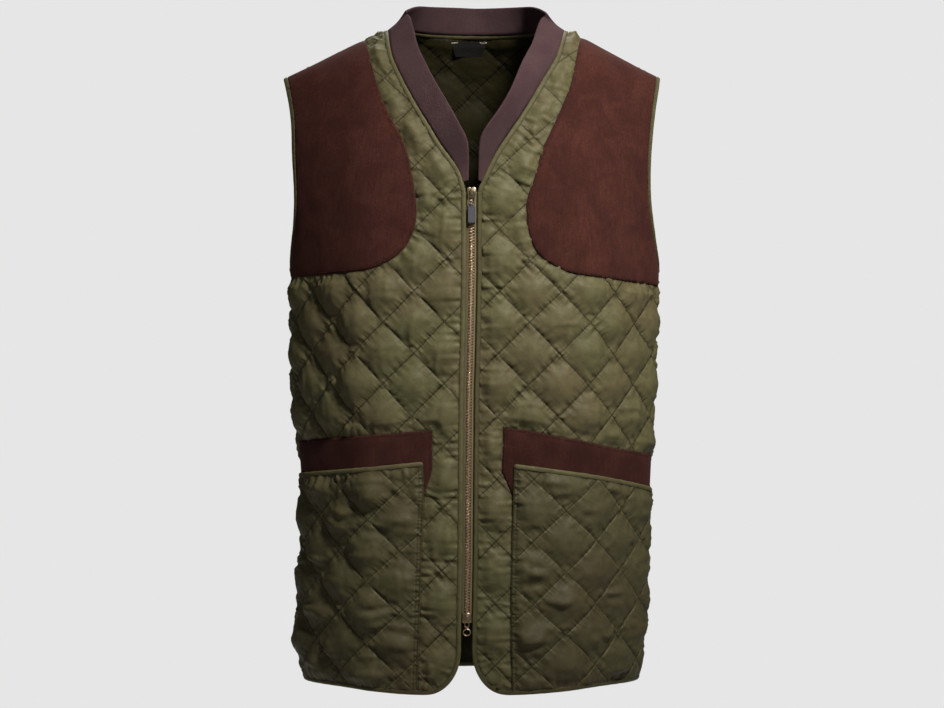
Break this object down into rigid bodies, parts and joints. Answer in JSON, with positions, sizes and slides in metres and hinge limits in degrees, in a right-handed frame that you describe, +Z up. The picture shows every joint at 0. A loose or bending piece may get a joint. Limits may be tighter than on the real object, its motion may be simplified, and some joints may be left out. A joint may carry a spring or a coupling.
{
  "type": "quilted gilet",
  "caption": "Sleeveless quilted zip-front gilet with a ribbed V-neck collar, suede shoulder patches and large quilted front pockets, filled out in its worn shape.",
  "frame": {"origin": "midway between the wearer's shoulders, level with the tops of the shoulder seams, where the wearer holds the garment up", "axes": "+Z up, -Y out of the garment's front, +X towards the wearer's left"},
  "size_m": [0.4615, 0.2612, 0.8353],
  "materials": {
    "quilted_olive": "satin, diamond quilted",
    "olive_binding": "satin",
    "brown_suede": "suede nap",
    "rib_knit": "fine rib knit",
    "zip_tape": "woven tape",
    "antique_brass": "antique",
    "grey_enamel": "satin",
    "label_cloth": "woven, blank"
  },
  "bodies": {
    "garment": {"back": "quilted_olive", "front_right": "quilted_olive", "front_left": "quilted_olive", "pocket_right": "quilted_olive", "pocket_left": "quilted_olive", "pocket_binding_right": "olive_binding", "pocket_binding_left": "olive_binding", "armhole_binding_right": "olive_binding", "armhole_binding_left": "olive_binding", "edge_binding": "olive_binding", "neck_binding": "olive_binding", "shoulder_patch_right": "brown_suede", "shoulder_patch_left": "brown_suede", "pocket_trim_right": "brown_suede", "pocket_trim_left": "brown_suede", "collar": "rib_knit", "neck_label": "label_cloth", "zip_tape_right": "zip_tape", "zip_tape_left": "zip_tape", "zip_chain": "antique_brass", "zip_slider_top": "antique_brass", "zip_slider_bottom": "antique_brass"},
    "pull_link": {"zip_link": "antique_brass"},
    "pull_tab": {"zip_pull_tab": "grey_enamel"},
    "pull_ring": {"zip_ring_pull": "antique_brass"}
  },
  "joints": [
    {"name": "link_swing", "type": "hinge", "parent": "garment", "child": "pull_link", "pos_m": [-0.00043, -0.1228, -0.2027], "axis": [1, 0, 0], "range_deg": [-120, 0]},
    {"name": "tab_swing", "type": "hinge", "parent": "pull_link", "child": "pull_tab", "pos_m": [-0.00043, -0.1228, -0.2187], "axis": [1, 0, 0], "range_deg": [-75, 0]},
    {"name": "ring_swing", "type": "hinge", "parent": "garment", "child": "pull_ring", "pos_m": [-0.00608, -0.12272, -0.7078], "axis": [1, 0, 0], "range_deg": [-110, 0]}
  ]
}
